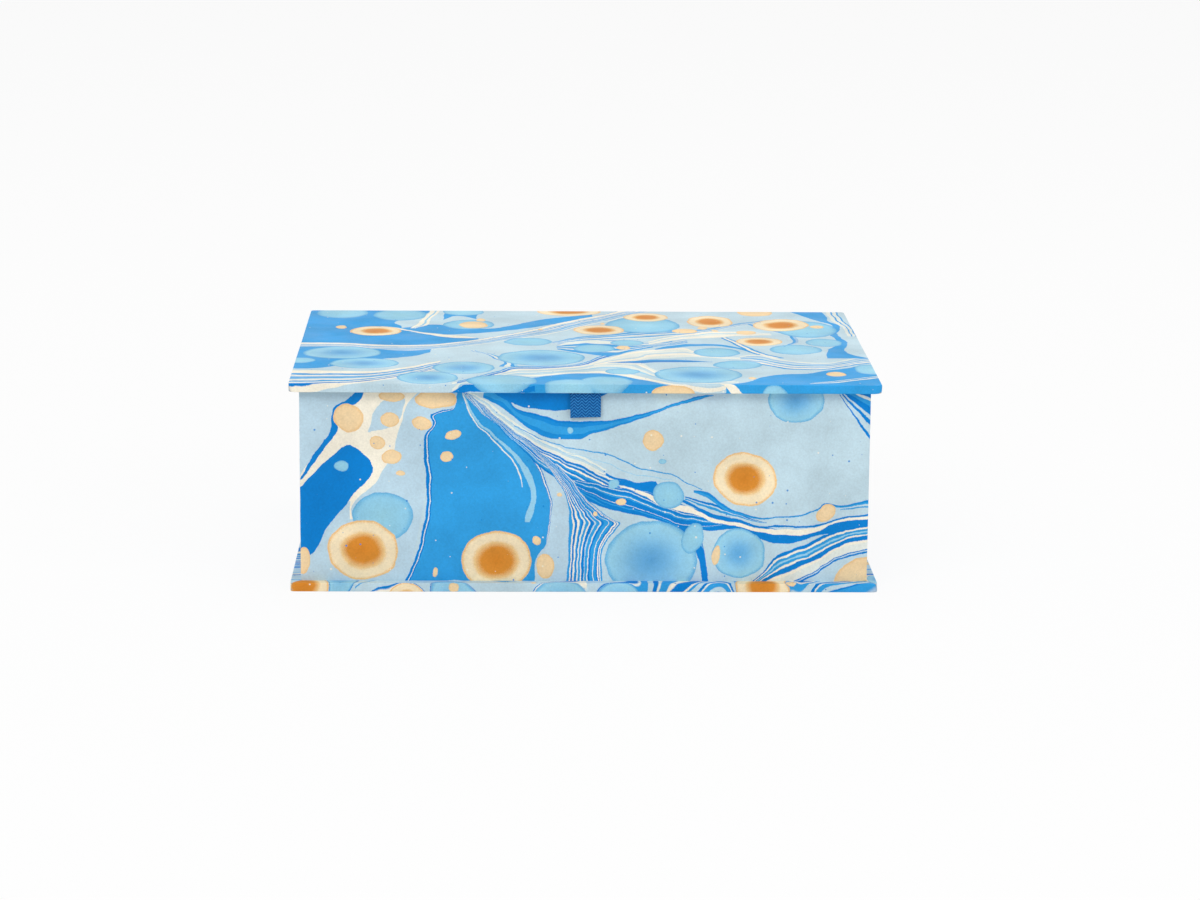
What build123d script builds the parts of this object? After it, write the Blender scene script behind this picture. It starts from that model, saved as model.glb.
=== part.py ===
"""Keepsake box: a book-style board box covered with marbled paper.

A case of three boards (lid, spine, base) carries a glued four-wall tray. One cover sheet runs
round the case and is the lid's hinge. A folded ribbon under the lid's front edge is the pull tab.

The origin is at the middle of the underside. +X runs along the width, the front faces -Y and
+Z is up. All sizes are in millimetres.
"""

import os

from build123d import *

os.makedirs("parts", exist_ok=True)

# Driving dimensions
box_width = 232.0  # lid and base over the cover paper
box_depth = 166.0  # front edge of the lid to the back of the spine
box_height = 83.5  # underside of the base to the top of the lid
board = 3.0  # greyboard of lid, spine and base
wall_board = 2.5  # greyboard of the tray
cover_paper = 0.25  # marbled paper with its paste, also the hinge strip
lining_paper = 0.2  # plain paper inside the lid and tray
square_margin = 4.0  # how far lid and base stand out past the tray
turn_in = 15.0  # width of the folded-over edge of the cover sheet
tray_turn_in = 12.0  # width of the tray wrap folded under the floor
board_corner = 1.3  # rounding of the board corners in plan
paper_bend = 0.3  # rounding where the paper folds over an edge
mitre_seam = 0.3  # gap between two mitred turn-ins
mitre_land = 1.6  # paper left whole between the end of a seam and the corner
hinge_leaf = 25.0  # width of each leaf of the inner hinge strip
lid_lining_margin = 3.0  # marbled border left round the lid lining
lid_lining_back = 4.5  # the same at the hinge
wall_lining_drop = 5.0  # marbled border left below the tray rim
ribbon_width = 12.0
ribbon_ply = 0.3
ribbon_tail_length = 20.0
ribbon_drop = 10.2  # how far the loop hangs below the lid
ribbon_eye = 0.2  # inside radius of the loop's fold
ribbon_eye_height = 2.5  # height of the opening in the loop

# Clearances
lid_gap = 0.3  # under the closed lid, at the rim and at the spine
ribbon_side_gap = 0.2  # each side of the tail in its recess
ribbon_top_gap = 0.05  # above the tail in its recess
ribbon_hang_gap = 0.1  # behind the tab, to the edge of the lid lining
ribbon_swing_gap = 0.15  # above the tab when it stands straight out
ribbon_mouth = 1.0  # length of the recess in front of the lid lining

# Worked-out sizes and levels
case_thickness = board + 2 * cover_paper
cover_corner = board_corner + cover_paper
front = -box_depth / 2
back = box_depth / 2
board_width = box_width - 2 * cover_paper
board_depth = box_depth - 2 * cover_paper
window_width = box_width - 2 * turn_in
window_front = front + turn_in
window_back = back - cover_paper

lid_underside = box_height - case_thickness
rim_top = lid_underside - lining_paper - lid_gap
spine_top = lid_underside - lid_gap

tray_width = box_width - 2 * square_margin
tray_front = front + square_margin
tray_back = back - case_thickness
tray_depth = tray_back - tray_front
tray_middle = (tray_front + tray_back) / 2
tray_height = rim_top - case_thickness
wall_bottom = case_thickness + cover_paper
wall_height = rim_top - cover_paper - wall_bottom
walls_width = tray_width - 2 * cover_paper
walls_depth = tray_depth - 2 * cover_paper
floor_width = walls_width - 2 * wall_board
floor_depth = walls_depth - 2 * wall_board
floor_top = wall_bottom + wall_board
room_width = floor_width - 2 * cover_paper
room_depth = floor_depth - 2 * cover_paper
wall_lining_top = rim_top - wall_lining_drop

ribbon_thickness = 2 * ribbon_ply
lining_front = front + lid_lining_margin
tail_back = lining_front + ribbon_tail_length
recess_front = lining_front - ribbon_mouth
recess_width = ribbon_width + 2 * ribbon_side_gap
recess_depth = ribbon_thickness + ribbon_top_gap
tab_axis_y = lining_front - ribbon_hang_gap - ribbon_thickness / 2
tab_axis_z = lid_underside - ribbon_swing_gap - ribbon_thickness / 2
tab_length = ribbon_drop - (lid_underside - tab_axis_z)
fold_radius = ribbon_eye + ribbon_ply


def board_blank(level):
    """The board of the lid or base, its underside at this level."""
    with BuildPart() as blank:
        with BuildSketch(Plane.XY.offset(level)):
            RectangleRounded(board_width, board_depth, board_corner)
        extrude(amount=board)
    return blank.part


def turn_in_window(level):
    """The opening between the three turn-ins, with the mitre seams at the two front corners."""
    seam_reach = turn_in - mitre_land + mitre_seam
    seam_x = window_width / 2 - mitre_seam + seam_reach / 2
    seam_y = window_front + mitre_seam - seam_reach / 2
    with BuildPart() as window:
        with BuildSketch(Plane.XY.offset(level)):
            with Locations((0, (window_front + window_back) / 2)):
                Rectangle(window_width, window_back - window_front)
            for side in (-1, 1):
                with Locations((side * seam_x, seam_y)):
                    Rectangle(seam_reach * 2**0.5, mitre_seam, rotation=-45 * side)
        extrude(amount=cover_paper)
    return window.part


# Room for the ribbon's tail, cut upwards from the lid's underside
with BuildPart() as ribbon_recess:
    with BuildSketch(Plane.XY.offset(lid_underside)):
        with Locations((0, (recess_front + tail_back) / 2)):
            Rectangle(recess_width, tail_back - recess_front)
    extrude(amount=recess_depth)

# Base board
with BuildPart() as base_board:
    add(board_blank(cover_paper))
base_board.part.label = "base_board"

# Cover sheet round the base: underside, four edges and the mitred turn-ins on top
with BuildPart() as base_cover:
    with BuildSketch():
        RectangleRounded(box_width, box_depth, cover_corner)
    extrude(amount=case_thickness)
    fillet(base_cover.faces().sort_by(Axis.Z)[0].edges(), paper_bend)
    fillet(base_cover.faces().sort_by(Axis.Z)[-1].edges().sort_by(Axis.Y)[:-1], paper_bend)
    add(base_board.part, mode=Mode.SUBTRACT)
    add(turn_in_window(case_thickness - cover_paper), mode=Mode.SUBTRACT)
base_cover.part.label = "base_cover"

# Spine board, standing on the base
with BuildPart() as spine_board:
    with BuildSketch(Plane.XY.offset(case_thickness)):
        with Locations((0, back - case_thickness / 2)):
            Rectangle(board_width, board)
    extrude(amount=spine_top - cover_paper - case_thickness)
    fillet(spine_board.edges().filter_by(Axis.Z).group_by(Axis.Y)[-1], board_corner)
spine_board.part.label = "spine_board"

# Cover sheet on the spine: outer face, two edges and the turn-ins at both ends
with BuildPart() as spine_cover:
    with BuildSketch(Plane.XY.offset(case_thickness)):
        with Locations((0, back - case_thickness / 2)):
            Rectangle(box_width, case_thickness)
    extrude(amount=spine_top - case_thickness)
    fillet(spine_cover.edges().filter_by(Axis.Z).group_by(Axis.Y)[-1], cover_corner)
    add(spine_board.part, mode=Mode.SUBTRACT)
    with BuildSketch(Plane.XY.offset(case_thickness)):
        with Locations((0, tray_back + cover_paper / 2)):
            Rectangle(window_width, cover_paper)
    extrude(amount=spine_top - case_thickness, mode=Mode.SUBTRACT)
    with BuildSketch(Plane.XY.offset(spine_top - cover_paper)):
        with Locations((0, (tray_back + window_back) / 2)):
            Rectangle(window_width, window_back - tray_back)
    extrude(amount=cover_paper, mode=Mode.SUBTRACT)
spine_cover.part.label = "spine_cover"

# Inner hinge strip, leaf on the spine: up its inner face and over its top edge
with BuildPart() as spine_hinge_leaf:
    with BuildSketch(Plane.YZ.offset(-window_width / 2)):
        with BuildLine():
            Polyline(
                (tray_back, spine_top - hinge_leaf),
                (tray_back, spine_top),
                (window_back, spine_top),
                (window_back, spine_top - cover_paper),
                (tray_back + cover_paper, spine_top - cover_paper),
                (tray_back + cover_paper, spine_top - hinge_leaf),
                close=True,
            )
        make_face()
    extrude(amount=window_width)
spine_hinge_leaf.part.label = "spine_hinge_leaf"

# Tray floor board, between the four walls
with BuildPart() as tray_floor_board:
    with BuildSketch(Plane.XY.offset(wall_bottom)):
        with Locations((0, tray_middle)):
            Rectangle(floor_width, floor_depth)
    extrude(amount=wall_board)
tray_floor_board.part.label = "tray_floor_board"

# Tray front wall, the full width of the tray
with BuildPart() as tray_front_wall:
    with BuildSketch(Plane.XY.offset(wall_bottom)):
        with Locations((0, tray_front + cover_paper + wall_board / 2)):
            Rectangle(walls_width, wall_board)
    extrude(amount=wall_height)
tray_front_wall.part.label = "tray_front_wall"

# Tray back wall, the full width of the tray
with BuildPart() as tray_back_wall:
    with BuildSketch(Plane.XY.offset(wall_bottom)):
        with Locations((0, tray_back - cover_paper - wall_board / 2)):
            Rectangle(walls_width, wall_board)
    extrude(amount=wall_height)
tray_back_wall.part.label = "tray_back_wall"

# Tray side walls, butted between front and back
with BuildPart() as tray_left_wall:
    with BuildSketch(Plane.XY.offset(wall_bottom)):
        with Locations((-(floor_width + wall_board) / 2, tray_middle)):
            Rectangle(wall_board, floor_depth)
    extrude(amount=wall_height)
tray_left_wall.part.label = "tray_left_wall"

with BuildPart() as tray_right_wall:
    with BuildSketch(Plane.XY.offset(wall_bottom)):
        with Locations(((floor_width + wall_board) / 2, tray_middle)):
            Rectangle(wall_board, floor_depth)
    extrude(amount=wall_height)
tray_right_wall.part.label = "tray_right_wall"

# Tray wrap: one strip round the walls, folded over the rim, down inside and under the floor
with BuildPart() as tray_wrap:
    with BuildSketch(Plane.XY.offset(case_thickness)):
        with Locations((0, tray_middle)):
            Rectangle(tray_width, tray_depth)
    extrude(amount=tray_height)
    fillet(tray_wrap.edges().filter_by(Axis.Z), paper_bend)
    fillet(tray_wrap.faces().sort_by(Axis.Z)[-1].edges(), paper_bend)
    with BuildSketch(Plane.XY.offset(wall_bottom)):
        with Locations((0, tray_middle)):
            Rectangle(walls_width, walls_depth)
            Rectangle(floor_width, floor_depth, mode=Mode.SUBTRACT)
    extrude(amount=wall_height, mode=Mode.SUBTRACT)
    with BuildSketch(Plane.XY.offset(wall_bottom)):
        with Locations((0, tray_middle)):
            Rectangle(floor_width, floor_depth)
    extrude(amount=wall_board, mode=Mode.SUBTRACT)
    with BuildSketch(Plane.XY.offset(floor_top)):
        with Locations((0, tray_middle)):
            Rectangle(room_width, room_depth)
    extrude(amount=rim_top - floor_top, mode=Mode.SUBTRACT)
    with BuildSketch(Plane.XY.offset(case_thickness)):
        with Locations((0, tray_middle)):
            Rectangle(tray_width - 2 * tray_turn_in, tray_depth - 2 * tray_turn_in)
    extrude(amount=cover_paper, mode=Mode.SUBTRACT)
    # Mitre seams on the rim and on the turn-ins below
    seam_offset = cover_paper + wall_board / 2
    lower_seam_reach = tray_turn_in - mitre_land + mitre_seam
    lower_seam_x = tray_width / 2 - tray_turn_in - mitre_seam + lower_seam_reach / 2
    lower_seam_y = tray_depth / 2 - tray_turn_in - mitre_seam + lower_seam_reach / 2
    with BuildSketch(Plane.XY.offset(rim_top - cover_paper)):
        for side_x in (-1, 1):
            for side_y in (-1, 1):
                rim_x = side_x * (tray_width / 2 - seam_offset)
                rim_y = tray_middle + side_y * (tray_depth / 2 - seam_offset)
                with Locations((rim_x, rim_y)):
                    Rectangle(wall_board * 2**0.5, mitre_seam, rotation=45 * side_x * side_y)
    extrude(amount=cover_paper, mode=Mode.SUBTRACT)
    with BuildSketch(Plane.XY.offset(case_thickness)):
        for side_x in (-1, 1):
            for side_y in (-1, 1):
                with Locations((side_x * lower_seam_x, tray_middle + side_y * lower_seam_y)):
                    Rectangle(lower_seam_reach * 2**0.5, mitre_seam, rotation=45 * side_x * side_y)
    extrude(amount=cover_paper, mode=Mode.SUBTRACT)
tray_wrap.part.label = "tray_wrap"

# Lining inside the tray walls, up to a marbled border below the rim
with BuildPart() as tray_wall_lining:
    with BuildSketch(Plane.XY.offset(floor_top)):
        with Locations((0, tray_middle)):
            Rectangle(room_width, room_depth)
            Rectangle(room_width - 2 * lining_paper, room_depth - 2 * lining_paper, mode=Mode.SUBTRACT)
    extrude(amount=wall_lining_top - floor_top)
tray_wall_lining.part.label = "tray_wall_lining"

# Lining on the tray floor
with BuildPart() as tray_floor_lining:
    with BuildSketch(Plane.XY.offset(floor_top)):
        with Locations((0, tray_middle)):
            Rectangle(room_width - 2 * lining_paper, room_depth - 2 * lining_paper)
    extrude(amount=lining_paper)
tray_floor_lining.part.label = "tray_floor_lining"

# Lid board, with the recess for the ribbon's tail in its underside
with BuildPart() as lid_board:
    add(board_blank(lid_underside + cover_paper))
    add(ribbon_recess.part, mode=Mode.SUBTRACT)
lid_board.part.label = "lid_board"

# Cover sheet round the lid: top, four edges and the mitred turn-ins beneath
with BuildPart() as lid_cover:
    with BuildSketch(Plane.XY.offset(lid_underside)):
        RectangleRounded(box_width, box_depth, cover_corner)
    extrude(amount=case_thickness)
    fillet(lid_cover.faces().sort_by(Axis.Z)[-1].edges(), paper_bend)
    fillet(lid_cover.faces().sort_by(Axis.Z)[0].edges().sort_by(Axis.Y)[:-1], paper_bend)
    add(board_blank(lid_underside + cover_paper), mode=Mode.SUBTRACT)
    add(turn_in_window(lid_underside), mode=Mode.SUBTRACT)
    add(ribbon_recess.part, mode=Mode.SUBTRACT)
lid_cover.part.label = "lid_cover"

# Inner hinge strip, leaf on the lid
with BuildPart() as lid_hinge_leaf:
    with BuildSketch(Plane.XY.offset(lid_underside)):
        with Locations((0, window_back - hinge_leaf / 2)):
            Rectangle(window_width, hinge_leaf)
    extrude(amount=cover_paper)
lid_hinge_leaf.part.label = "lid_hinge_leaf"

# Lid lining: a sheet over the turn-ins, with the infill that levels the field between them
with BuildPart() as lid_lining:
    lining_back = back - lid_lining_back
    infill_back = window_back - hinge_leaf
    with BuildSketch(Plane.XY.offset(lid_underside - lining_paper)):
        with Locations((0, (lining_front + lining_back) / 2)):
            Rectangle(box_width - 2 * lid_lining_margin, lining_back - lining_front)
    extrude(amount=lining_paper)
    with BuildSketch(Plane.XY.offset(lid_underside)):
        with Locations((0, (window_front + infill_back) / 2)):
            Rectangle(window_width, infill_back - window_front)
    extrude(amount=cover_paper)
    add(ribbon_recess.part, mode=Mode.SUBTRACT)
lid_lining.part.label = "lid_lining"

# Ribbon tail, two plies let in flat under the lid
with BuildPart() as ribbon_tail:
    with BuildSketch(Plane.XY.offset(lid_underside)):
        with Locations((0, (lining_front + tail_back) / 2)):
            Rectangle(ribbon_width, ribbon_tail_length)
    extrude(amount=ribbon_thickness)
ribbon_tail.part.label = "ribbon_tail"

# Ribbon tab: the folded loop that hangs from under the lid, with its open eye at the fold
with BuildPart() as ribbon_tab:
    fold_z = tab_axis_z - tab_length + fold_radius
    with BuildSketch(Plane.YZ.offset(-ribbon_width / 2)):
        with BuildLine():
            Line((tab_axis_y - ribbon_ply, tab_axis_z), (tab_axis_y - fold_radius, fold_z))
            ThreePointArc(
                (tab_axis_y - fold_radius, fold_z),
                (tab_axis_y, fold_z - fold_radius),
                (tab_axis_y + fold_radius, fold_z),
            )
            Line((tab_axis_y + fold_radius, fold_z), (tab_axis_y + ribbon_ply, tab_axis_z))
            Line((tab_axis_y + ribbon_ply, tab_axis_z), (tab_axis_y - ribbon_ply, tab_axis_z))
        make_face()
        with BuildLine():
            Line((tab_axis_y, fold_z + ribbon_eye_height), (tab_axis_y - ribbon_eye, fold_z))
            ThreePointArc(
                (tab_axis_y - ribbon_eye, fold_z),
                (tab_axis_y, fold_z - ribbon_eye),
                (tab_axis_y + ribbon_eye, fold_z),
            )
            Line((tab_axis_y + ribbon_eye, fold_z), (tab_axis_y, fold_z + ribbon_eye_height))
        make_face(mode=Mode.SUBTRACT)
    extrude(amount=ribbon_width)
ribbon_tab.part.label = "ribbon_tab"

sub_parts = [
    base_board,
    base_cover,
    spine_board,
    spine_cover,
    spine_hinge_leaf,
    tray_floor_board,
    tray_front_wall,
    tray_back_wall,
    tray_left_wall,
    tray_right_wall,
    tray_wrap,
    tray_wall_lining,
    tray_floor_lining,
    lid_board,
    lid_cover,
    lid_hinge_leaf,
    lid_lining,
    ribbon_tail,
    ribbon_tab,
]
for sub_part in sub_parts:
    export_step(sub_part.part, f"parts/{sub_part.part.label}.step")

print(f"lid hinge at y {back:.2f}, z {lid_underside:.2f}")
print(f"tab hinge at y {tab_axis_y:.2f}, z {tab_axis_z:.2f}")
print(f"room inside {room_width - 2 * lining_paper:.2f} x {room_depth - 2 * lining_paper:.2f}")
print(f"room from z {floor_top + lining_paper:.2f} to {rim_top:.2f}, middle at y {tray_middle:.2f}")
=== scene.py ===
"""Looks of the keepsake box: marbled paper over board, plain lining, a woven ribbon tab.

The marbling is drawn in two ways. Where the photograph shows the paper, it is fields of ink
between smooth lines, with stones laid over them. Elsewhere drops are strewn over flowing bands,
and each pushes its surroundings outwards: a point is taken back from drop to drop, and has a
drop's colour where it lands inside it, and the colour of the bands otherwise. Sheet coordinates
are millimetres on the unfolded paper, kept in the UV map "Sheet".
"""

import math

import bmesh
import bpy
from mathutils import Matrix, Vector, noise


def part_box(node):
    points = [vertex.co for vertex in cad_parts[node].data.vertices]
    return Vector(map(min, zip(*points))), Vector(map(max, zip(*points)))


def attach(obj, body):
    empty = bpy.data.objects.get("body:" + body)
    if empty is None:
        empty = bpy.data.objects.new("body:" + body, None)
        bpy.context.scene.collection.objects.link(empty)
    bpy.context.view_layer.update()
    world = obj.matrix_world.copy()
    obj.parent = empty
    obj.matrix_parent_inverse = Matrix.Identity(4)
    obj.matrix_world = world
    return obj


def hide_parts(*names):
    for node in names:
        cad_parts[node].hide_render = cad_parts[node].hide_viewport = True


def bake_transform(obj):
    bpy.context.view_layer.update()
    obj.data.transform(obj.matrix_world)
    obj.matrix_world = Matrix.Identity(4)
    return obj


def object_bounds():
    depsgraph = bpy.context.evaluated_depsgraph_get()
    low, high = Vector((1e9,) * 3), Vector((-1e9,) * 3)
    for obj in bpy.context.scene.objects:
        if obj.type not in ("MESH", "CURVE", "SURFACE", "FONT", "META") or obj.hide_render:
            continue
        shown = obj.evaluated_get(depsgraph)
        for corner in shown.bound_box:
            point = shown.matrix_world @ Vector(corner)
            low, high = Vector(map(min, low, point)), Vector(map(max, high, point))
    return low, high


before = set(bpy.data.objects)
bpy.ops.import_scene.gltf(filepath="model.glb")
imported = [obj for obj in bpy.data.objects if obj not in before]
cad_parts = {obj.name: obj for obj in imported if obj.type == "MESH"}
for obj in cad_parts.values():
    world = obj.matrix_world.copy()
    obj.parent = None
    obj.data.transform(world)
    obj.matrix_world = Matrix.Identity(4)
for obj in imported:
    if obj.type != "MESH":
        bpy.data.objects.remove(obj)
cad_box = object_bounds()
noise.seed_set(7)  # the paper's waves come out the same each run
MM = 0.001

# Levels and faces of the box, from the frame
LID_LOW, LID_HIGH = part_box("lid_cover")
BASE_LOW, BASE_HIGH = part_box("base_cover")
TRAY_LOW, TRAY_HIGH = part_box("tray_wrap")
TAB_LOW, TAB_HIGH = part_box("ribbon_tab")
TAIL_LOW, TAIL_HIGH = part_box("ribbon_tail")
SLAB = LID_HIGH[2] - LID_LOW[2]  # thickness of the lid: its board and the paper on both sides


def linear(red, green, blue):
    """A screen colour, 0 to 255, as the linear values that Blender works in."""
    return tuple(
        c / 12.92 if c <= 0.04045 else ((c + 0.055) / 1.055) ** 2.4
        for c in (red / 255, green / 255, blue / 255)
    )


INKS = {
    "deep": linear(0, 127, 207),
    "dark": linear(20, 138, 212),
    "mid": linear(48, 156, 220),
    "sky": linear(150, 204, 230),
    "pale": linear(190, 214, 224),
    "mist": linear(186, 212, 226),
    "light": linear(225, 230, 222),
    "cream": linear(243, 236, 218),
    "haze": linear(150, 190, 224),
}


# Node helpers


class Graph:
    """Adds nodes to a tree; inputs are sockets, numbers or tuples, in the node's order."""

    def __init__(self, tree):
        self.tree = tree

    def node(self, kind, *inputs, **settings):
        made = self.tree.nodes.new("ShaderNode" + kind)
        for name, value in settings.items():
            setattr(made, name, value)
        for at, value in enumerate(inputs):
            self.plug(made.inputs[at], value)
        return made

    def plug(self, socket, value):
        if isinstance(value, bpy.types.NodeSocket):
            self.tree.links.new(value, socket)
        else:
            socket.default_value = value

    def math(self, operation, *inputs):
        return self.node("Math", *inputs, operation=operation).outputs[0]

    def vector(self, operation, *inputs):
        made = self.node("VectorMath", *inputs, operation=operation)
        return made.outputs["Value" if operation in ("DOT_PRODUCT", "LENGTH") else "Vector"]

    def scaled(self, vector, share):
        made = self.node("VectorMath", vector, operation="SCALE")
        self.plug(made.inputs["Scale"], share)
        return made.outputs["Vector"]

    def spread(self, value, low, high, least, most):
        """The value from low to high turned to least to most."""
        return self.node("MapRange", value, low, high, least, most).outputs[0]

    def step(self, value, low, high):
        """0 below low and 1 above high, smooth between."""
        made = self.node("MapRange", value, low, high, 0.0, 1.0, interpolation_type="SMOOTHSTEP")
        return made.outputs[0]

    def ramp(self, value, stops):
        made = self.node("ValToRGB", value)
        band = made.color_ramp
        while len(band.elements) < len(stops):
            band.elements.new(0.5)
        for element, (place, colour) in zip(band.elements, stops):
            element.position = place
            element.color = (*colour, 1)
        return made.outputs[0]

    def lines(self, along, pair):
        """Two smooth lines through points of 0 to 1, read together: along is the same in both parts."""
        made = self.node("VectorCurve", 1.0, along)
        begin = min(at for points in pair for at, to in points)
        finish = max(at for points in pair for at, to in points)
        for curve, points in zip(made.mapping.curves, (*pair, [(begin, 0.0), (finish, 0.0)])):
            while len(curve.points) < len(points):
                curve.points.new(0.5, 0.5)
            for point, place in zip(curve.points, sorted(points)):
                point.location = place
                point.handle_type = "AUTO_CLAMPED"
        made.mapping.extend = "HORIZONTAL"
        made.mapping.update()
        return made.outputs[0]

    def mix(self, factor, first, second):
        made = self.node("Mix", data_type="RGBA")
        self.plug(made.inputs["Factor"], factor)
        self.plug(made.inputs[6], first)
        self.plug(made.inputs[7], second)
        return made.outputs[2]

    def noise(self, vector, scale, detail=2.0, roughness=0.5, kind="2D", name="Fac"):
        made = self.tree.nodes.new("ShaderNodeTexNoise")
        made.noise_dimensions = kind
        self.plug(made.inputs["Vector"], vector)
        self.plug(made.inputs["Scale"], scale)
        self.plug(made.inputs["Detail"], detail)
        self.plug(made.inputs["Roughness"], roughness)
        return made.outputs[name]

    def cells(self, vector, size, randomness=1.0):
        """Cells of about this size, with a point somewhere in each."""
        made = self.tree.nodes.new("ShaderNodeTexVoronoi")
        made.voronoi_dimensions = "2D"
        self.plug(made.inputs["Vector"], vector)
        self.plug(made.inputs["Scale"], 1 / size)
        self.plug(made.inputs["Randomness"], randomness)
        return made

    def sheet(self):
        """A point's place on the unfolded sheet."""
        return self.node("UVMap", uv_map="Sheet").outputs[0]

    def use(self, tree, *inputs):
        """A node group in this tree."""
        made = self.node("Group")
        made.node_tree = tree
        for at, value in enumerate(inputs):
            self.plug(made.inputs[at], value)
        return made


def group(name, inputs, outputs):
    """A new node group with its sockets; gives the tree, its graph, its input and its output node."""
    tree = bpy.data.node_groups.new(name, "ShaderNodeTree")
    for direction, sockets in (("INPUT", inputs), ("OUTPUT", outputs)):
        for label, kind in sockets:
            tree.interface.new_socket(label, in_out=direction, socket_type="NodeSocket" + kind)
    graph = Graph(tree)
    source = tree.nodes.new("NodeGroupInput")
    sink = tree.nodes.new("NodeGroupOutput")
    return tree, graph, source, sink


# Marbling

STYLES = {
    "blue": [
        (0.0, linear(92, 162, 212)),
        (0.30, linear(112, 178, 220)),
        (0.62, linear(142, 199, 227)),
        (0.88, linear(154, 207, 228)),
        (0.95, linear(118, 186, 222)),
        (1.0, linear(88, 164, 212)),
    ],
    "sky": [
        (0.0, linear(154, 209, 228)),
        (0.8, linear(144, 202, 228)),
        (0.95, linear(112, 182, 220)),
        (1.0, linear(92, 166, 212)),
    ],
    "orange": [
        (0.0, linear(210, 130, 40)),
        (0.42, linear(214, 138, 50)),
        (0.60, linear(236, 200, 142)),
        (0.68, linear(243, 224, 188)),
        (0.90, linear(244, 225, 188)),
        (0.96, linear(238, 188, 120)),
        (1.0, linear(238, 198, 142)),
    ],
    "peach": [
        (0.0, linear(242, 214, 170)),
        (0.8, linear(242, 211, 164)),
        (0.95, linear(236, 196, 142)),
        (1.0, linear(238, 202, 152)),
    ],
}
FIELD_EDGE = 0.12  # mm that a field's edge takes on each side of its line
FIELD_END = 0.3  # mm over which a field begins and ends
FIELD_WAVER, FIELD_WAVER_SCALE = 0.06, 0.15  # share of a field that its bands waver, and per mm
BAND_BLUR = 0.006  # share of a field over which one band turns to the next
EDGE_SOFTNESS = 0.025  # share of a stone's reach over which its edge turns to the ground
FAR = 9.0  # a reach beyond every stone
GRAIN, GRAIN_SCALE = 4.0, 3.5  # strength of the speckle that mixes a stone's colours, and per mm
SPECKLE = 0.05  # share of a stone's reach that the speckle shifts its colours
WANDER, WANDER_SCALE = 1.9, 0.11  # mm that every outline wanders, and per mm
FEATHER, FEATHER_SCALE = 0.3, 2.4  # mm that every outline is feathered, and per mm
RAGGED, RAGGED_SCALE = 18.0, 0.06  # mm that the drawn part's border runs in and out, and per mm
BORDER = 3.6, 3.9  # mm outside the drawn part where it turns to the strewn one
DROP_CLEARANCE = 4.0  # mm kept between strewn drops and the drawn part
DROP_EDGE = 0.97  # share of a drop's radius where its edge begins
DROP_PUSH = 1.3, 2.6  # radii between which a drop's push on its surroundings fades
TINY = 1e-3
# Each step moves a point by this share, so that Cycles takes the steps in turn and its stack holds them
HANDOVER = 1e-7


def reach_group():
    """How far out from a stone a point is, 1 at its edge: the least for this stone and earlier ones."""
    carried = [("Position", "Vector"), ("Reach", "Float")]
    inputs = carried + [("Centre", "Vector"), ("Turn", "Vector"), ("Size", "Vector")]
    tree, graph, source, sink = group("Reach", inputs, carried)
    place, turn, size = (source.outputs[name] for name in ("Centre", "Turn", "Size"))
    local = graph.node("Mapping", source.outputs["Position"], place, turn, size, vector_type="TEXTURE")
    local = local.outputs[0]
    nearest = graph.math("MINIMUM", graph.vector("LENGTH", local), source.outputs["Reach"])
    handed_on = graph.vector("MULTIPLY_ADD", local, (HANDOVER, HANDOVER, 0.0), source.outputs["Position"])
    graph.plug(sink.inputs["Reach"], nearest)
    graph.plug(sink.inputs["Position"], handed_on)
    return tree


def lay_stones(graph, position, colour, stones, grain):
    """Lays stones over a colour: by style, ellipses as (x, y, half width, half height, degrees)."""
    for style, stops in STYLES.items():
        reach = FAR
        for x, y, width, height, degrees in stones[style]:
            turn = (0.0, 0.0, math.radians(degrees))
            made = graph.use(REACH, position, reach, (x, y, 0.0), turn, (width, height, 1.0))
            position, reach = made.outputs[0], made.outputs[1]
        inside = graph.math("SUBTRACT", 1.0, graph.step(reach, 1.0 - EDGE_SOFTNESS, 1.0))
        speckled = graph.math("ADD", reach, graph.math("MULTIPLY", grain, SPECKLE))
        colour = graph.mix(inside, colour, graph.ramp(speckled, stops))
    return colour


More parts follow.
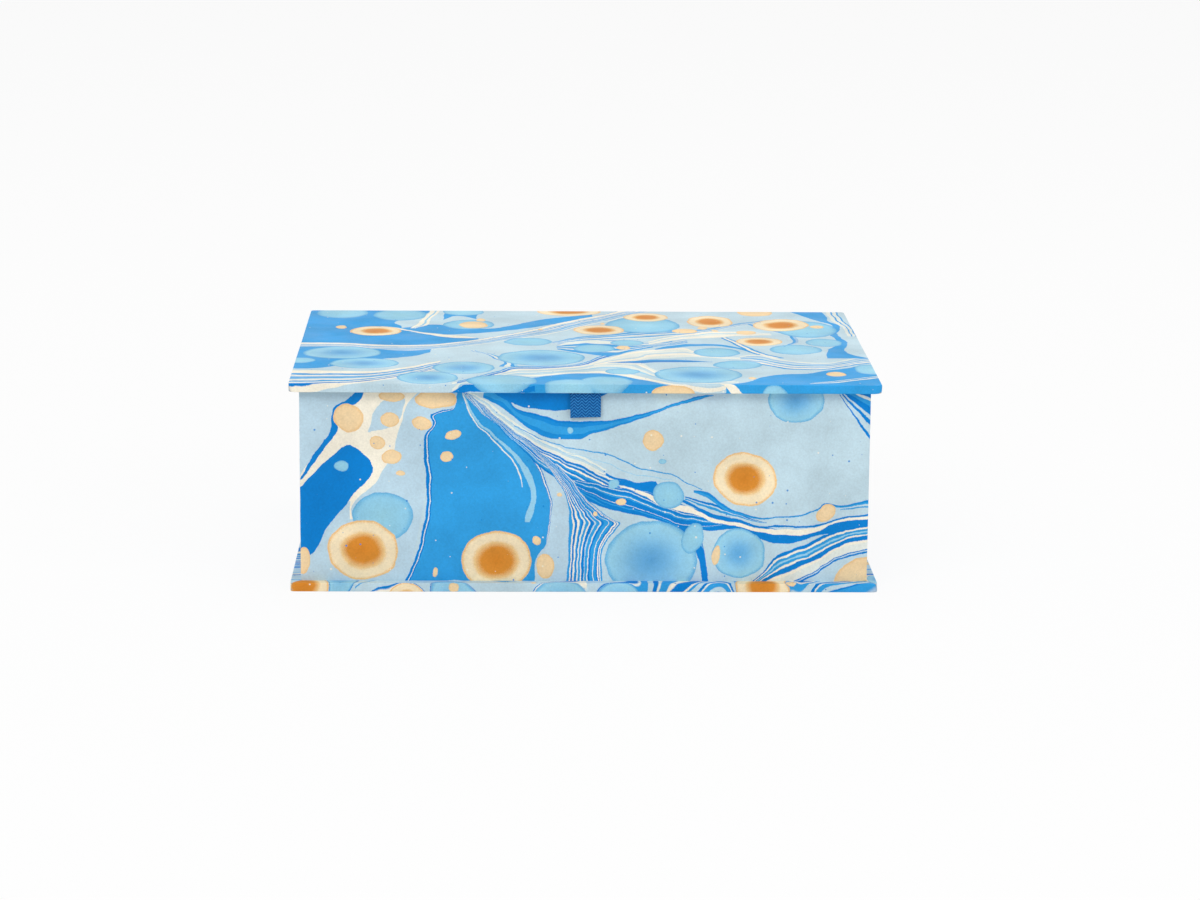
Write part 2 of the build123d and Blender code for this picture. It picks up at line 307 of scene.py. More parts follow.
def scatter_group(name, style, cell, least, most, share):
    """Drops of a style strewn over the sheet, one to a cell, clear of the box from Low to High.

    Each pushes its surroundings outwards, so a point near one is taken back to where it came from."""
    carried = [("Position", "Vector"), ("Colour", "Color"), ("Found", "Float")]
    inputs = carried + [("Low", "Vector"), ("High", "Vector"), ("Shift", "Vector")]
    tree, graph, source, sink = group("Strewn " + name, inputs, carried)
    shifted = graph.vector("ADD", source.outputs["Position"], source.outputs["Shift"])
    cells = graph.cells(shifted, cell, 0.8)
    middle = graph.vector("SUBTRACT", cells.outputs["Position"], source.outputs["Shift"])
    below = graph.vector("SUBTRACT", source.outputs["Low"], middle)
    above = graph.vector("SUBTRACT", middle, source.outputs["High"])
    beyond = graph.node("SeparateXYZ", graph.vector("MAXIMUM", below, above))
    beyond = graph.math("MAXIMUM", beyond.outputs[0], beyond.outputs[1])
    chance = graph.node("SeparateXYZ", cells.outputs["Color"])
    grown = graph.spread(chance.outputs[0], 0.0, 1.0, least, most)
    kept = graph.math("LESS_THAN", chance.outputs[1], share)
    kept = graph.math("MULTIPLY", kept, graph.math("GREATER_THAN", beyond, most + DROP_CLEARANCE))
    radius = graph.math("MAXIMUM", graph.math("MULTIPLY", grown, kept), TINY)
    away = graph.vector("SUBTRACT", shifted, cells.outputs["Position"])
    reach = graph.math("MAXIMUM", graph.math("DIVIDE", graph.vector("LENGTH", away), radius), TINY)
    left = graph.math("SUBTRACT", 1.0, graph.math("DIVIDE", 1.0, graph.math("MULTIPLY", reach, reach)))
    pull = graph.math("SQRT", graph.math("MAXIMUM", left, 0.0))
    near = graph.math("SUBTRACT", 1.0, graph.step(reach, *DROP_PUSH))
    drawn = graph.scaled(away, graph.math("MULTIPLY", graph.math("SUBTRACT", 1.0, pull), near))
    inside = graph.math("SUBTRACT", 1.0, graph.step(reach, DROP_EDGE, 1.0))
    part = graph.math("MULTIPLY", inside, graph.math("SUBTRACT", 1.0, source.outputs["Found"]))
    tinted = graph.scaled(graph.ramp(reach, STYLES[style]), part)
    graph.plug(sink.inputs["Position"], graph.vector("SUBTRACT", source.outputs["Position"], drawn))
    graph.plug(sink.inputs["Colour"], graph.vector("ADD", source.outputs["Colour"], tinted))
    graph.plug(sink.inputs["Found"], graph.math("ADD", source.outputs["Found"], part))
    return tree


def field_group():
    """A field between two lines, in shares of the recipe's box: its mask, and where across it a point is."""
    names = ("Along", "Across", "From", "To", "Edge", "End")
    inputs = [("Lines", "Vector")] + [(name, "Float") for name in names]
    outputs = [(name, "Float") for name in ("Mask", "Share", "Along", "Across")]
    tree, graph, source, sink = group("Field", inputs, outputs)
    lines, along, across, first, last, edge, end = (source.outputs[at] for at in range(7))
    heights = graph.node("SeparateXYZ", lines)
    low, high = heights.outputs[0], heights.outputs[1]
    inner = graph.math("SUBTRACT", across, low)
    over = graph.step(graph.math("DIVIDE", inner, edge), -1.0, 1.0)
    under = graph.step(graph.math("DIVIDE", graph.math("SUBTRACT", high, across), edge), -1.0, 1.0)
    begun = graph.step(graph.math("DIVIDE", graph.math("SUBTRACT", along, first), end), -1.0, 0.0)
    ended = graph.step(graph.math("DIVIDE", graph.math("SUBTRACT", last, along), end), -1.0, 0.0)
    mask = graph.math("MULTIPLY", graph.math("MULTIPLY", over, under), graph.math("MULTIPLY", begun, ended))
    wide = graph.math("MAXIMUM", graph.math("SUBTRACT", high, low), 1e-5)
    graph.plug(sink.inputs["Mask"], mask)
    graph.plug(sink.inputs["Share"], graph.math("DIVIDE", inner, wide))
    graph.plug(sink.inputs["Along"], graph.math("MULTIPLY_ADD", mask, HANDOVER, along))
    graph.plug(sink.inputs["Across"], graph.math("MULTIPLY_ADD", mask, HANDOVER, across))
    return tree


REACH = reach_group()
FIELD = field_group()
# Strewn drops: cell, least and most radius in mm, share of cells with a drop, and a shift of the cells
STREWN = [
    (scatter_group("spots", "peach", 19.0, 0.8, 3.2, 0.45), (3.0, 8.0, 0.0)),
    (scatter_group("suns", "orange", 58.0, 8.0, 13.0, 0.6), (14.0, 30.0, 0.0)),
    (scatter_group("stones", "blue", 40.0, 6.0, 13.0, 0.7), (0.0, 0.0, 0.0)),
]


def line(text):
    """A line's points, written "at,to at,to" in mm."""
    return [tuple(float(part) for part in point.split(",")) for point in text.split()]


def runs(text):
    """Ramp stops for bands, written "ink width, ink width" from one side of a field to the other."""
    bands = [band.split() for band in text.split(", ")]
    whole = sum(float(width) for ink, width in bands)
    stops, at = [], 0.0
    for ink, width in bands:
        end = at + float(width) / whole
        blur = min(BAND_BLUR, (end - at) * 0.25)
        stops += [(at + blur, INKS[ink]), (end - blur, INKS[ink])]
        at = end
    return stops


def lay_fields(graph, position, colour, fields, low, high):
    """Lays fields over a colour, each ("x" or "y", ink or bands of ink, first line, second line).

    A "y" field lies between two heights given along x, an "x" field between two places given along y."""
    spread = graph.noise(position, FIELD_WAVER_SCALE)
    waver = graph.math("MULTIPLY", graph.math("SUBTRACT", spread, 0.5), FIELD_WAVER)
    size = (high[0] - low[0], high[1] - low[1])
    scaled = graph.vector("DIVIDE", graph.vector("SUBTRACT", position, (*low, 0.0)), (*size, 1.0))
    scaled = graph.node("SeparateXYZ", scaled)
    place = [scaled.outputs[0], scaled.outputs[1]]
    for axis, paint, *sides in fields:
        along, across = (0, 1) if axis == "y" else (1, 0)
        pair = [
            [((at - low[along]) / size[along], (to - low[across]) / size[across]) for at, to in line(side)]
            for side in sides
        ]
        begin = max(min(at for at, to in points) for points in pair)
        finish = min(max(at for at, to in points) for points in pair)
        doubled = graph.node("CombineXYZ", place[along], place[along], 0.0).outputs[0]
        edges = FIELD_EDGE / size[across], FIELD_END / size[along]
        lines = graph.lines(doubled, pair)
        made = graph.use(FIELD, lines, place[along], place[across], begin, finish, *edges)
        place[along], place[across] = made.outputs["Along"], made.outputs["Across"]
        if paint in INKS:
            ink = (*INKS[paint], 1.0)
        else:
            ink = graph.ramp(graph.math("ADD", made.outputs["Share"], waver), runs(paint))
        colour = graph.mix(made.outputs["Mask"], colour, ink)
    return colour


def strayed(graph, place, reach, scale, detail):
    """How far noise moves a point: half of reach at most, to any side."""
    stray = graph.vector("SUBTRACT", graph.noise(place, scale, detail, name="Color"), (0.5, 0.5, 0.5))
    return graph.vector("MULTIPLY", stray, (reach, reach, 0.0))


def marbled(graph, recipe):
    """The marbling's colour: the recipe's fields and stones in its clear box, strewn drops beyond it."""
    sheet = graph.sheet()
    wander = strayed(graph, sheet, WANDER, WANDER_SCALE, 4.0)
    feather = strayed(graph, sheet, FEATHER, FEATHER_SCALE, 1.0)
    position = graph.vector("ADD", graph.vector("ADD", sheet, wander), feather)
    grain = graph.math("MULTIPLY", graph.math("SUBTRACT", graph.noise(sheet, GRAIN_SCALE), 0.5), GRAIN)
    parts = graph.node("SeparateXYZ", position)
    pale = (*INKS["pale"], 1.0)
    drawn = lay_fields(graph, position, pale, recipe["fields"], recipe["low"], recipe["high"])
    drawn = lay_stones(graph, position, drawn, recipe["stones"], grain)
    moved, colour, found = position, (0.0, 0.0, 0.0, 1.0), 0.0
    corners = [(*corner, 0.0) for corner in recipe["clear"]]
    for tree, shift in STREWN:
        made = graph.use(tree, moved, colour, found, *corners, shift)
        moved, colour, found = (made.outputs[at] for at in range(3))
    bands = flow_bands(graph, moved, recipe["flow"])
    strewn = graph.vector("ADD", colour, graph.scaled(bands, graph.math("SUBTRACT", 1.0, found)))
    outside = -1000.0
    for axis in (0, 1):
        below = graph.math("SUBTRACT", corners[0][axis], parts.outputs[axis])
        above = graph.math("SUBTRACT", parts.outputs[axis], corners[1][axis])
        outside = graph.math("MAXIMUM", outside, graph.math("MAXIMUM", below, above))
    ragged = graph.math("SUBTRACT", graph.noise(position, RAGGED_SCALE), 0.5)
    outside = graph.math("ADD", outside, graph.math("MULTIPLY", ragged, RAGGED))
    return graph.mix(graph.step(outside, *BORDER), drawn, strewn)


WIDE_REPEAT, FINE_REPEAT = 74.0, 17.0  # mm after which each kind of run comes again
TURN_REPEAT = WIDE_REPEAT * 1.31  # mm after which wide and fine runs have taken turns
FLOW_BEND, FLOW_BEND_SCALE = 80.0, 0.014  # mm that the flow bends, and per mm
WIDE_RUNS = runs(
    "pale 5, mid 0.5, pale 3, deep 1.2, cream 1, mid 4, sky 0.5, mid 2.5, "
    "light 0.7, deep 2, pale 3.5, sky 1, cream 1.2, deep 0.7"
)
FINE_RUNS = runs(
    "deep 1, cream 0.5, mid 1.2, light 0.4, deep 0.8, pale 1, mid 1.4, light 0.5, "
    "deep 1, pale 1.6, mid 0.7, cream 0.5, deep 0.5"
)


def flow_bands(graph, position, direction):
    """Bands drawn out at right angles to direction, in wide runs and fine ones by turns."""
    slow = graph.noise(position, FLOW_BEND_SCALE, 1.5)
    across = graph.vector("DOT_PRODUCT", position, direction)
    across = graph.math("ADD", across, graph.math("MULTIPLY", slow, FLOW_BEND))
    wide = graph.ramp(graph.math("FRACT", graph.math("DIVIDE", across, WIDE_REPEAT)), WIDE_RUNS)
    fine = graph.ramp(graph.math("FRACT", graph.math("DIVIDE", across, FINE_REPEAT)), FINE_RUNS)
    place = graph.math("FRACT", graph.math("DIVIDE", across, TURN_REPEAT))
    turns = graph.step(graph.math("ABSOLUTE", graph.math("SUBTRACT", place, 0.5)), 0.11, 0.115)
    return graph.mix(turns, fine, wide)


# The drawn parts, in mm. The tray's start at the foot of its front left corner, the case's at the
# middle of the lid. A recipe's box from low to high is the span of its lines, clear is the drawn
# part, and flow is the direction across the strewn part's bands.

SEA_EDGE = (
    "0,41 4,43 9,45 14,46.5 20,48 25,49 30,49.5 35,49.7 40,49.6 45,49.3 52,48.7 57,48.7 60,49.5 62,51.5 "
    "64,52 66,51 67,51 68,53 69.5,60"
)
SWEEP_SEAM = (
    "0,112.2 10,112.3 16,113.4 20,114.9 22,115.6 23.6,116.5 26,113.8 28,112.7 30,111.2 35,108 36,107.2 "
    "42,103.1 48,97.6 54,91.1 60,83.7 66,76.2 72,69.5 76,65.3"
)
TRAY_FIELDS = [
    ("x", "mist", "0,-5 78,-5", "0,42 40,49 60,49 78,60"),
    ("x", "cream",
     "25,19.5 28,19.8 32,20 36,0 40,0 41,0 48.5,4 54,8 59,11 63,13 67,13.5 70.5,16 72,20 76,24",
     "24.9,19.4 25.3,26 26.4,21 28,20.4 31,21.2 35,24.5 38,28.5 41,31 45,33 49,35 52,36.5 56,38 60,39 "
     "64,40.2 68,41.2 72,43 76,46"),
    ("x", "mist",
     "60,26.5 64,28.2 68,29.3 70,30.5 72,33 74,38",
     "60,26.6 62,36 66,39.8 70,41 72,41.5 73.5,41 74,38"),
    ("y", "deep",
     "0,9 3.5,10.3 6,13 9,19 13,25 17.5,30 21,34.5 24,38 27,41 28.7,44.9",
     "0,37 3,41 8,46 13,50.5 17,53.9 20,54.6 22,53.7 26,50.5 28,48 28.7,44.9"),
    ("x", "deep",
     "41,0 48.5,4 54,8 59,11 63,12.3 67,12.8 70.5,14.5 72,18 74,20 76,22",
     "40,0.3 47,5 52,9 58,13 61.5,14.5 65,13.8 69,14.6 70.2,20 73,24 76,25.5"),
    ("x", "mid",
     SEA_EDGE + " 76,62",
     "0,92.4 8,92.6 11,94 15,97 20,97.4 26,98 32,98 38,96.5 44,94 50,90 56,85 62,78.5 68,71 76,63.5"),
    ("x", "deep 1, light 0.35, deep 0.5",
     SEA_EDGE,
     "0,43 4,45 9,47 14,48.4 20,49.8 25,50.8 30,51.4 35,51.7 40,51.9 45,51.6 52,50.7 57,50.6 60,51.2 "
     "62,53 64,53.6 66,52.6 67,53 68,57 69.5,61"),
    ("x", "sky",
     "24,88.6 26,88.7 30,90 36,90.6 42,89 48,85.6 54,80.6 60,74 66,68 76,63.6",
     "24,90.4 26,91.2 30,92 36,92.6 42,91.4 48,87.6 54,82.2 60,75.4 66,69 76,64"),
    ("x", "light",
     "38,87.6 42,87 48,83.6 54,78.6 60,72.6 66,67.2 76,63.5",
     "38,87.8 42,87.6 48,84.3 54,79.3 60,73.2 66,67.8 76,63.8"),
    ("x", "deep 0.4, light 0.5, deep 0.5",
     "15,97 20,97.4 26,98 32,98 38,96.5 44,94 50,90 56,85 62,78.5 68,71 76,64",
     "15,97.2 20,98 26,98.7 32,99 38,97.8 44,95.4 50,91.4 56,86.2 62,79.4 68,71.8 76,65"),
    ("x", "mist",
     "0,93 8,93.2 11,94.4 15,97 20,98 26,98.7 32,99 38,97.8 44,95.4 50,91.4 56,86.2",
     "0,104.5 10,105.4 20,105.6 28,106 35,104 42,100 48,95.6 52,92 56,87"),
    ("y", "dark 2, mid 3, dark 1.5, deep 1",
     "72,74 78,70.5 84,66 92,60.3 100,57.7 108,57.3 115,59.5 122,61.4 130,64.2 138,67 146,70.4 155,73 "
     "162,75",
     "72,78 78,78 84,70.2 92,67.6 100,65.3 108,64.6 114,64.6 122,64.8 130,66.7 140,69.2 148,72.2 158,75 "
     "162,75.2"),
    ("y", "deep",
     "76,76 80,73 84,71.5 90,70 100,68.8 107,69.6 113,72 118,74.4 121,76",
     "76,76 80,78 113,78 118,77 121,76"),
    ("y",
     "deep 0.7, mid 0.6, pale 0.3, mid 0.8, light 0.3, deep 0.8, mid 0.4, light 0.35, deep 0.5, mid 0.5, "
     "cream 0.4, deep 0.5, pale 0.3, deep 0.6, light 0.5, deep 0.5",
     "66,76 72,68.3 80,60 88,52 94,46 100,42 106,37 112,33.5 120,29.6 128,27.5 140,25 146,22.4 151,21 "
     "158,21.8 164,24 170,26",
     "66,76.2 72,71.5 80,64.5 88,58.6 95,55 103,51.2 112,47.6 120,43.6 127,41.2 135,39.5 142,36 148,32.5 "
     "152,30.6 158,28.6 164,27 170,26"),
    ("y", "light 1, pale 1, sky 0.3, light 1.2",
     "66,75 72,70.8 80,63.8 88,57.8 95,54 103,50.2 112,46.6 120,42.6",
     "66,76 72,73.5 76,70.5 82,65.5 90,60.2 96,57 104,53 112,50 120,45"),
    ("y", "deep",
     "124,40.4 131,37.6 138,35.4 143,32.4 148,28 152,23.4 157,21.6 163,20.6 170,21 175,20.8 180,18 185,16 "
     "192,15.4 200,17.5 206,19 212,20 225,21",
     "124,41 131,40 139,40.4 143,36 148,31 155,29 163,27.3 170,25.5 180,23 190,21 196,20.4 205,22 "
     "215,25.5 225,27"),
    ("y",
     "deep 0.8, mid 0.3, deep 0.6, light 0.16, deep 1.6, mid 0.5, light 0.2, mid 0.4, deep 0.9, pale 0.3, "
     "deep 0.5",
     "108,38 116,33 124,29.2 132,27.2 140,25 146,22.4 151,20.5 158,20.8 166,22.8",
     "108,41 116,40 124,38 132,36 138,33 144,31 150,28.4 158,26.4 163,25.6 166,23"),
    ("x", "deep", "0,158.3 7,157.8 13,155.5 18,151.5 22,147", "0,161.2 10,160 17,158 21,156 24,153"),
    ("y", "sky", "153,22.4 156,18 158.5,13", "150,22.2 153,22.6 155,21.5 157,18.6 158.5,13"),
    ("y", "cream",
     "126,38 134,35.6 140,31.8 146,29.6 150,28.4 156,26.6 163,24.2 172,22.2 180,20.6 190,19 196,18.9 "
     "204,20.5 212,24 225,25.5",
     "126,38.6 133,37 138,34.8 142,32.6 148,30.7 152,30.6 158,27.6 165,25 172,23.6 180,22.2 190,21.2 "
     "200,21.7 208,23.2 214,25.6 225,26.8"),
    ("y", "deep",
     "150,32.5 158,28.4 166,25.3 175,23.3 185,22 195,22 205,22.6 212,25 225,27",
     "150,34 158,29.6 166,26.2 175,24 185,22.7 195,22.7 205,23.4 212,25.8 225,27.8"),
    ("y", "mid 1, pale 0.5, deep 1",
     "152,33.2 158,30.6 164,28.4 170,26.4 176,24.9 184,23.9",
     "152,34.8 158,32.6 164,31 170,28.2 176,26 184,24.2"),
    ("y", "mid 1, dark 1",
     "155,36 160,34 164,31 170,27.6 176,26 185,25.3 195,26 203,28.4 208,31 213,30.4 218,31 225,32",
     "155,37 160,36.4 164,33 170,29.4 176,27 185,25.9 195,26.6 203,29.2 208,31.8 213,31.2 218,32 225,33.6"),
    ("y", "mid", "213,29.4 218,30 225,30.4", "213,29.8 218,30.5 225,31"),
    ("y", "mid",
     "84,62.6 90,59.4 100,55.4 108,53.2 120,51.2 127,48.3 135,45 145,43.2 150,41 158,37",
     "84,62.9 90,59.8 100,55.8 108,53.6 120,51.7 127,48.9 135,45.5 145,43.7 150,41.5 158,37.3"),
    ("y", "sky",
     "100,52.8 112,50.2 120,47.6 130,43.5 140,41.9 146,41",
     "100,53 112,50.4 120,47.9 130,43.8 140,42.2 146,41.2"),
    ("x",
     "mid 1, cream 0.5, deep 0.8, cream 0.7, mid 0.5, deep 0.5, light 0.6, mid 0.9, cream 0.5, deep 1.1, "
     "pale 0.4",
     "0,104.5 10,105.4 20,105.6 28,106 35,104 42,100 48,95.6 54,89.6 60,82.5 66,75.3 72,69 76,65",
     SWEEP_SEAM),
    ("x",
     "mid 1.1, light 0.4, deep 0.7, mid 1.2, light 0.3, mid 0.9, deep 0.5, cream 0.5, deep 0.3, "
     "light 0.4, mid 0.6",
     SWEEP_SEAM,
     "0,119.2 10,118.6 16,120.6 22,124.8 23.6,126.4 26,121 30,116.6 36,110.6 42,106 48,99.5 54,92.4 "
     "60,84.8 66,77 72,70 76,65.6"),
    ("y",
     "pale 1, deep 0.6, pale 0.35, deep 0.35, light 2.2, cream 0.8, deep 1.4, cream 0.5, mid 0.7, "
     "sky 0.5, mid 0.8, cream 0.6, deep 0.9",
     "175,-6 184,-6 190,-5 200,-1 208,4 214,8 225,11",
     "176,-2 180,1 184,6 188,10 193,12.4 200,15.6 206,18.2 212,21 225,23.5"),
    ("y", "deep 0.5, pale 1, deep 0.6, pale 0.5, deep 1, mid 0.6, light 0.3, deep 1.5",
     "211,76 215,70 219,64 225,57",
     "211,80 225,80"),
]
TRAY_STONES = {
    "blue": [
        (138.4, 8.7, 18.5, 16, 0), (173, 11.3, 10.7, 10.2, 0), (194.6, 73, 11, 9, 0),
    ],
    "sky": [
        (154.8, 17.3, 4, 6.5, -20), (32.5, 26, 12, 10, 0), (145.2, 35, 6.6, 5.3, -20),
        (123.4, 39.5, 2.3, 1.9, 30), (16.4, 46.2, 3, 2.4, 0), (142.5, 48.4, 1.6, 1.1, 0),
        (106, 61, 1.2, 1.4, 0),
    ],
    "orange": [
        (24.7, 12.4, 14.2, 12.2, 0), (77.2, 8.3, 14, 12.3, 0), (175, 41.5, 12.6, 10.8, -12),
    ],
    "peach": [
        (138.7, 57, 4.2, 4.2, 0), (19.2, 65.5, 6, 5.6, -15), (53.4, 73.1, 8.5, 3.6, 0),
        (36.2, 74, 5, 2.4, 0), (35.5, 64.8, 3.8, 3, -10), (30.5, 55.8, 3.2, 2.7, -10),
        (47.8, 63.5, 3.8, 2.6, -12), (36, 50.1, 4, 2.8, 5), (60.4, 59.1, 3.3, 1.6, 12),
        (57.5, 50.2, 2.5, 2.2, 15), (207.3, 27.9, 4.4, 3, 40), (126, 31.9, 1.9, 1.5, 0),
        (115.9, 27.1, 0.9, 0.9, 0), (101.8, 34.9, 0.9, 0.8, 0), (93, 16.3, 2, 1.7, -40),
        (96.6, 6, 3.4, 5.4, 5), (52.8, 3.5, 1, 1.9, -5), (1.1, 8, 2.6, 5.5, 0), (220, 3, 10, 6, 30),
        (163.9, 10.7, 1.4, 4.2, -5), (39.5, 43.5, 1.6, 1, 0),
    ],
}

CASE_FIELDS = [
    ("x", "mid",
     "0,-119 84,-119",
     "0,-74 1,-70 3,-60 8,-50 15,-43 22,-56 27,-66 32,-73 38,-75 45,-76 52,-79 60,-76 66,-70 75,-66 "
     "84,-64"),
    ("y", "mid",
     "-76,36 -72,31 -66,28 -57,25 -48,27 -38,31 -28,37 -18,44 -8,54 0,62 6,70",
     "-76,40 -70,44 -62,49 -55,46 -48,40 -40,39 -32,44 -25,52 -18,60 -10,66 0,72 6,76"),
    ("y", "mid", "-58,60 -52,70 -44,62", "-58,80 -50,74 -44,78 -34,88"),
    ("y",
     "light 0.8, haze 0.8, pale 0.8, mid 0.5, pale 0.5, haze 0.8, cream 0.6, mid 0.6, light 0.4, "
     "haze 0.5, cream 1.6, mid 0.3",
     "-119,-9 -100,-8 -85,-14 -72,-13 -60,-9 -50,-3 -40,4 -30,13 -20,21 -10,30 0,44 10,56 20,68 30,82 "
     "36,90",
     "-119,6 -100,5.5 -85,2 -70,1 -60,3 -50,9 -40,17 -30,27 -20,38 -10,52 0,64 10,74 20,86 36,90"),
    ("y", "cream",
     "-84,44 -74,35 -66,27 -58,20 -50,17 -44,17",
     "-84,44.4 -76,40 -72,35 -66,30 -57,25 -48,21 -44,17.5"),
    ("x", "cream 1, sky 0.4, cream 0.6",
     "40,-72 50,-69 60,-68 70,-66 84,-64",
     "40,-70 50,-64 60,-64 70,-62 84,-60"),
    ("y", "mid",
     "-119,-52 -105,-50 -100,-46 -80,-30 -70,-25 -62,-15",
     "-119,-5 -100,-4 -85,-9 -72,-12 -62,-9"),
    ("y",
     "cream 0.8, deep 0.5, light 0.6, mid 0.6, cream 0.5, pale 0.5, mid 0.6, haze 0.6, cream 0.5, "
     "mid 0.8, cream 1.5",
     "-119,-88 -104,-86 -90,-82 -78,-74 -66,-62 -58,-50",
     "-119,-55 -100,-56 -85,-57 -75,-51 -66,-43 -58,-34"),
    ("x", "mid 0.6, light 0.8, mid 0.6, sky 0.5",
     "-46,-34 -38,-32 -30,-36 -22,-38 -12,-46",
     "-46,-26 -38,-28 -30,-32 -22,-35 -12,-44"),
    ("y", "cream 0.8, pale 1.2, sky 0.4, light 0.8, pale 1, cream 0.6, light 0.8",
     "-52,-92 -42,-82 -36,-74 -28,-68 -18,-66 -8,-61 2,-59 10,-61 20,-70 28,-78 36,-84 50,-86 60,-82",
     "-52,-80 -42,-69 -34,-60 -26,-50 -18,-49 -8,-46 0,-41 8,-28 16,-24 22,-34 30,-56 40,-70 60,-76"),
    ("y", "deep 1, light 0.4, mid 0.8",
     "-50,-82 -42,-70 -34,-61 -27,-51 -18,-50 -8,-47 0,-42 6,-31 12,-22 20,-12 28,-4 38,6",
     "-50,-77 -42,-66 -34,-55 -28,-46 -18,-45 -8,-44 0,-37 6,-25 12,-16 20,-6 28,2 38,12"),
    ("y", "mid 0.8, light 0.4, mid 0.5, pale 0.5, mid 0.6, light 0.8, haze 0.6",
     "-10,-8 -4,-14 2,-18 10,-22 20,-12 30,-2 44,8",
     "-10,4 -4,12 4,18 12,16 20,6 30,6 44,16"),
    ("y", "light 1, cream 0.8, pale 0.5, light 1, cream 0.6",
     "4,-44 12,-40 20,-42 26,-30 36,-26 46,-24 56,-27 66,-30 74,-34",
     "4,-38 12,-25 20,-14 30,-8 40,-4 47,-14 56,-22 66,-26 74,-32"),
    ("y", "deep 1, mid 1",
     "10,-37 20,-37.5 30,-36 44,-35 52,-35",
     "10,-36.8 20,-33 30,-30 44,-31.5 52,-34.6"),
    ("y", "mid", "30,-8 38,-4 46,0 54,1 62,-4 68,-12", "30,-6 38,2 46,5 54,5 62,0 68,-8"),
    ("y", "light 0.8, mid 0.7, pale 0.8, cream 0.5, mid 0.8, pale 0.6, mid 1",
     "-12,4 0,10 12,14 24,17 36,22 48,29 58,38 68,47 79,58",
     "-12,8 0,21 12,26 24,33 36,36 48,37 58,44 68,54 79,61"),
    ("y", "cream 1, light 1, sky 0.3, cream 1",
     "28,4 38,13 48,18 56,20 66,24 80,26",
     "28,10 38,22 48,29 56,34 66,34 80,30"),
    ("x", "mid 0.7, cream 0.8, mid 0.7",
     "-26,76 -18,71 -10,67 -2,65 8,62 20,58",
     "-26,82 -18,76 -10,72 -2,69 8,66 20,61"),
    ("x", "mid 1, haze 1",
     "2,84 12,88 22,88 32,84 42,76 52,72",
     "2,86 12,90.5 22,90.5 32,86.5 42,78 52,75"),
    ("y", "mid 0.6, cream 0.6, haze 0.7, light 0.6, mid 0.5, pale 0.8, haze 0.6, light 0.8",
     "64,-34 74,-43 84,-51 94,-51 104,-45 112,-39 119,-35",
     "64,-22 70,-18 78,-26 88,-34 98,-36 106,-30 112,-24 119,-22"),
    ("x", "mid",
     "-26,99 -10,101 0,104 10,107 20,106 30,105 40,107 50,108 60,103 66,100 75,96 84,92",
     "-26,119 -22,113 -10,108 0,109.5 10,111 20,109 30,108.5 40,110.5 50,111 60,107 66,107 75,107 84,106"),
    ("x", "light 1, mid 0.4, light 0.8, mid 0.4",
     "24,112 40,112.5 60,109 84,108",
     "24,116 40,116 60,114 84,113"),
    ("y", "mid", "-24,-94 36,-94", "-24,-72 -12,-64 0,-60 8,-61 16,-67 24,-75 30,-81 36,-85"),
    ("y", "deep", "36,-94 60,-94", "36,-85 44,-87 54,-86.5 60,-83"),
    ("y", "mid", "55,-94 119,-94", "55,-83 64,-76 70,-67 78,-61 88,-59 96,-53 104,-48 112,-42 119,-40"),
    ("x", "cream", "-94,59 -87,57 -81,52", "-94,64 -87,61.5 -81,56"),
    ("y", "light 1, mid 1, light 0.6", "88,-80 98,-78 108,-72 119,-66", "88,-79 98,-74 108,-68 119,-62"),
    ("y", "deep", "-60,-94 -52,-90 -44,-86 -30,-87 -20,-86", "-60,-90 -52,-86 -44,-83 -30,-84 -20,-84"),
]
CASE_STONES = {
    "blue": [
        (-98, -17, 16, 13.5, 0), (-88, -40, 14, 11, 0), (-62, -70, 12, 13, 0), (-48, -49, 12.5, 13, 0),
        (-17, -27, 18, 17, 0), (45, -62, 17.5, 17, 0), (27, 50, 12, 12, 0),
    ],
    "sky": [
        (27, 49, 16, 19, 0), (-22, 9, 10, 9, 0), (5, -6, 8.5, 9, -30), (19, 7, 7, 6.5, 0),
        (55, -14, 9.5, 10, 0), (62, -41, 10, 9, 20), (88, -7, 11, 11, 0), (101, 9, 7.5, 9, 0),
        (96, 40, 13, 20, 0), (-102, 77, 11, 14, 0), (-77, 72, 11.5, 14, 0), (-50, 80, 9, 9, 0),
        (-47, 49, 11, 11.5, -20), (-114, -34, 6, 6, 0), (-33, -76, 14, 12, 0), (-6, -83, 10, 11, 0),
        (8, -77, 10.5, 11, 30), (15, -56, 7, 6, 0), (74, -87, 5, 4, 0), (115, -50, 7, 11, 0),
    ],
    "orange": [
        (-86, 33, 11, 11, 0), (-4, 82, 14, 11, 0), (8, 37, 10.8, 11, -15), (29, 68, 9.6, 10, 0),
        (56, 58, 10, 14, 0), (86, 50, 11.8, 15, -20), (74, 11, 9.6, 9.5, 0),
    ],
    "peach": [
        (-45, 48, 6.2, 8, 0), (-42, 60, 2, 4, 0), (-101, 42, 2.4, 4, 0), (44, 35, 5.4, 5.4, 0),
        (52, 42, 2.2, 3.4, 0), (57, 36, 1.4, 2.4, 0), (70, 32, 4.2, 4.6, 0), (77, 80, 7.8, 8.5, 0),
        (101, 46, 3, 3.6, 0), (10, 52, 0.9, 2.4, 0), (-17, 38, 1, 2, 0), (17, -4, 3, 4.5, 0),
        (100, -60, 3.9, 4.8, 0), (66, -69, 1.6, 2.4, 0), (34, -86.6, 8.6, 3.6, 0),
    ],
}
CASE_RECIPE = {
    "fields": CASE_FIELDS,
    "stones": CASE_STONES,
    "low": (-120.0, -120.0),
    "high": (120.0, 120.0),
    "clear": ((-117.0, -92.0), (117.0, 84.0)),
    "flow": (-0.26, 0.96, 0.0),
}
